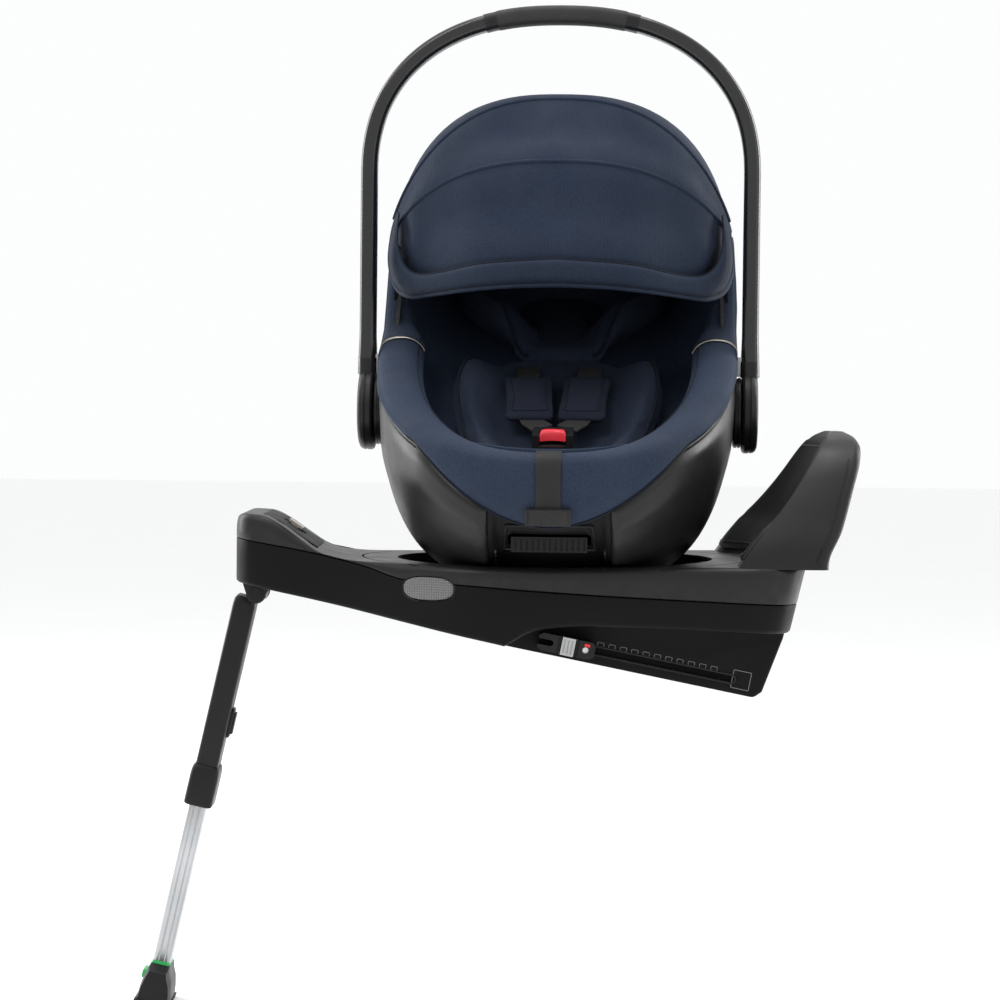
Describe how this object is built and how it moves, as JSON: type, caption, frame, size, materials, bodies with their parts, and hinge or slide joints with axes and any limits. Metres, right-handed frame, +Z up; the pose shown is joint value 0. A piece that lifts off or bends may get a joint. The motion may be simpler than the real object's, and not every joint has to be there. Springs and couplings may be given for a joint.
{
  "type": "infant car seat carrier on swivel base",
  "caption": "Infant carrier with carrying handle, hood and harness, docked on a swivelling vehicle base with support leg and rebound panel.",
  "frame": {"origin": "on the sloped underside of the base, straight below the swivel axis", "axes": "+Z up along the swivel axis, +X towards the rebound panel, -Y towards the foot end of the carrier at rest"},
  "size_m": [0.7937, 0.6973, 1.1287],
  "materials": {
    "black_plastic": "fine grained black moulding",
    "dark_plastic": "satin charcoal moulding",
    "pad_plastic": "soft-touch dark grey",
    "handle_plastic": "half-gloss black",
    "navy_fabric": "knitted navy polyester",
    "navy_dark_fabric": "dark navy knit",
    "pad_fabric": "near-black navy neoprene",
    "webbing": "woven dark grey webbing",
    "energy_foam": "expanded foam",
    "steel": "zinc plated",
    "leg_aluminium": "satin anodised",
    "grey_plastic": "light grey moulding",
    "trim_metal": "satin champagne paint",
    "button_red": "red moulding",
    "indicator_red": "red marker",
    "indicator_green": "green marker",
    "rubber": "matt black rubber",
    "bearing_plastic": "low-friction plastic"
  },
  "bodies": {
    "base": {"base_lower_tray": "dark_plastic", "base_upper_cover": "dark_plastic", "base_chassis": "steel", "rebound_shell": "dark_plastic", "rebound_pad": "pad_plastic", "nose_panel": "dark_plastic", "isofix_rails": "steel", "base_screws": "steel", "leg_bracket": "dark_plastic", "leg_hinge_pin": "steel", "turntable_glide_ring": "bearing_plastic", "turntable_retainer": "black_plastic"},
    "turntable": {"turntable_disc": "black_plastic", "dock_hooks": "steel"},
    "carrier": {"carrier_shell": "dark_plastic", "seat_tub": "energy_foam", "fairing_left": "dark_plastic", "fairing_right": "dark_plastic", "hub_left": "black_plastic", "hub_right": "black_plastic", "dock_bars": "steel", "rim_trim": "trim_metal", "seat_cover": "navy_fabric", "seat_insert": "navy_dark_fabric", "buckle_body": "black_plastic", "harness_straps": "webbing", "buckle_tongues": "black_plastic", "adjuster_strap": "webbing", "hood_fabric": "navy_fabric"},
    "handle": {"handle_bar": "handle_plastic", "handle_grip": "rubber", "handle_yokes": "dark_plastic"},
    "handle_button_right": {"handle_button_right": "black_plastic"},
    "handle_button_left": {"handle_button_left": "black_plastic"},
    "adapter_tab_right": {"adapter_tab_right": "grey_plastic"},
    "adapter_tab_left": {"adapter_tab_left": "grey_plastic"},
    "carrier_release": {"carrier_release_lever": "black_plastic"},
    "buckle_button": {"buckle_button": "button_red"},
    "headrest": {"headrest_cushion": "navy_fabric", "shoulder_pads": "pad_fabric"},
    "hood_rear": {"hood_bow_rear": "black_plastic"},
    "hood_mid": {"hood_bow_mid": "black_plastic"},
    "hood_front": {"hood_bow_front": "black_plastic"},
    "leg_upper": {"leg_upper_tube": "dark_plastic", "leg_collar": "black_plastic"},
    "leg_lower": {"leg_lower_tube": "leg_aluminium", "leg_foot": "dark_plastic", "leg_foot_sole": "rubber", "leg_foot_indicator": "indicator_green"},
    "leg_button": {"leg_height_button": "black_plastic"},
    "isofix_carriage": {"isofix_crossbar": "steel"},
    "arm_near": {"connector_near": "dark_plastic", "connector_flag_near": "indicator_red"},
    "sleeve_near": {"connector_sleeve_near": "grey_plastic"},
    "arm_far": {"connector_far": "dark_plastic", "connector_flag_far": "indicator_red"},
    "sleeve_far": {"connector_sleeve_far": "grey_plastic"},
    "swivel_button_near": {"rotation_button_near": "grey_plastic"},
    "swivel_button_far": {"rotation_button_far": "grey_plastic"},
    "nose_release": {"nose_release_lever": "trim_metal"}
  },
  "joints": [
    {"name": "turntable_spin", "type": "hinge", "parent": "base", "child": "turntable", "pos_m": [0, 0, 0.076], "axis": [0, 0, 1], "range_deg": [0, 180]},
    {"name": "carrier_lift", "type": "slide", "parent": "turntable", "child": "carrier", "axis": [0, 0, 1], "range_m": [0, 0.25]},
    {"name": "handle_swing", "type": "hinge", "parent": "carrier", "child": "handle", "pos_m": [0.00283, 0.05993, 0.262], "axis": [0.9989, -0.0471, 0], "range_deg": [-95, 100]},
    {"name": "handle_button_right_press", "type": "slide", "parent": "handle", "child": "handle_button_right", "axis": [-0.9989, 0.0471, 0], "range_m": [0, 0.0035], "stiffness_N_per_m": 400},
    {"name": "handle_button_left_press", "type": "slide", "parent": "handle", "child": "handle_button_left", "axis": [0.9989, -0.0471, 0], "range_m": [0, 0.0035], "stiffness_N_per_m": 400},
    {"name": "adapter_tab_right_lift", "type": "slide", "parent": "carrier", "child": "adapter_tab_right", "axis": [0, 0, 1], "range_m": [0, 0.005], "stiffness_N_per_m": 300},
    {"name": "adapter_tab_left_lift", "type": "slide", "parent": "carrier", "child": "adapter_tab_left", "axis": [0, 0, 1], "range_m": [0, 0.005], "stiffness_N_per_m": 300},
    {"name": "carrier_release_pull", "type": "slide", "parent": "carrier", "child": "carrier_release", "axis": [-0.0471, -0.9989, 0], "range_m": [0, 0.008], "stiffness_N_per_m": 400},
    {"name": "buckle_button_press", "type": "slide", "parent": "carrier", "child": "buckle_button", "axis": [0.0082, 0.1735, -0.9848], "range_m": [0, 0.0025], "stiffness_N_per_m": 600},
    {"name": "headrest_height", "type": "slide", "parent": "carrier", "child": "headrest", "axis": [0.0411, 0.8715, 0.4886], "range_m": [0, 0.045], "deforming": ["harness_straps"]},
    {"name": "hood_fold", "type": "hinge", "parent": "carrier", "child": "hood_rear", "pos_m": [0.00612, 0.12986, 0.455], "axis": [-0.9989, 0.0471, 0], "range_deg": [0, 93], "deforming": ["hood_fabric"]},
    {"name": "hood_mid_fold", "type": "hinge", "parent": "hood_rear", "child": "hood_mid", "pos_m": [0.00612, 0.12986, 0.455], "axis": [-0.9989, 0.0471, 0], "range_deg": [0, 25.6]},
    {"name": "hood_front_fold", "type": "hinge", "parent": "hood_mid", "child": "hood_front", "pos_m": [0.00612, 0.12986, 0.455], "axis": [-0.9989, 0.0471, 0], "range_deg": [0, 27.6]},
    {"name": "leg_fold", "type": "hinge", "parent": "base", "child": "leg_upper", "pos_m": [-0.332, 0, 0.056], "axis": [0, -1, 0], "range_deg": [0, 90]},
    {"name": "leg_extend", "type": "slide", "parent": "leg_upper", "child": "leg_lower", "axis": [-0.2181, 0, -0.9759], "range_m": [-0.13, 0.05]},
    {"name": "leg_height_button_press", "type": "slide", "parent": "leg_upper", "child": "leg_button", "axis": [-0.9759, 0, 0.2181], "range_m": [0, 0.0026], "stiffness_N_per_m": 500},
    {"name": "isofix_slide", "type": "slide", "parent": "base", "child": "isofix_carriage", "axis": [0.9806, 0, -0.1959], "range_m": [0, 0.145]},
    {"name": "connector_near_swing", "type": "hinge", "parent": "isofix_carriage", "child": "arm_near", "pos_m": [0.0304, 0, 0.00922], "axis": [0, -1, 0], "range_deg": [0, 180]},
    {"name": "connector_near_release", "type": "slide", "parent": "arm_near", "child": "sleeve_near", "axis": [0.9806, 0, -0.1959], "range_m": [0, 0.004], "stiffness_N_per_m": 300},
    {"name": "swivel_button_near_press", "type": "slide", "parent": "base", "child": "swivel_button_near", "axis": [0.4366, 0.8997, 0], "range_m": [0, 0.004], "stiffness_N_per_m": 400},
    {"name": "connector_far_swing", "type": "hinge", "parent": "isofix_carriage", "child": "arm_far", "pos_m": [0.0304, 0, 0.00922], "axis": [0, -1, 0], "range_deg": [0, 180]},
    {"name": "connector_far_release", "type": "slide", "parent": "arm_far", "child": "sleeve_far", "axis": [0.9806, 0, -0.1959], "range_m": [0, 0.004], "stiffness_N_per_m": 300},
    {"name": "swivel_button_far_press", "type": "slide", "parent": "base", "child": "swivel_button_far", "axis": [0.4366, -0.8997, 0], "range_m": [0, 0.004], "stiffness_N_per_m": 400},
    {"name": "nose_release_slide", "type": "slide", "parent": "base", "child": "nose_release", "axis": [0.8222, 0, -0.5692], "range_m": [0, 0.006], "stiffness_N_per_m": 300}
  ],
  "couplings": [
    {"joint": "hood_mid_fold", "follows": "hood_fold", "ratio": 0.27419},
    {"joint": "hood_front_fold", "follows": "hood_fold", "ratio": 0.2957}
  ]
}
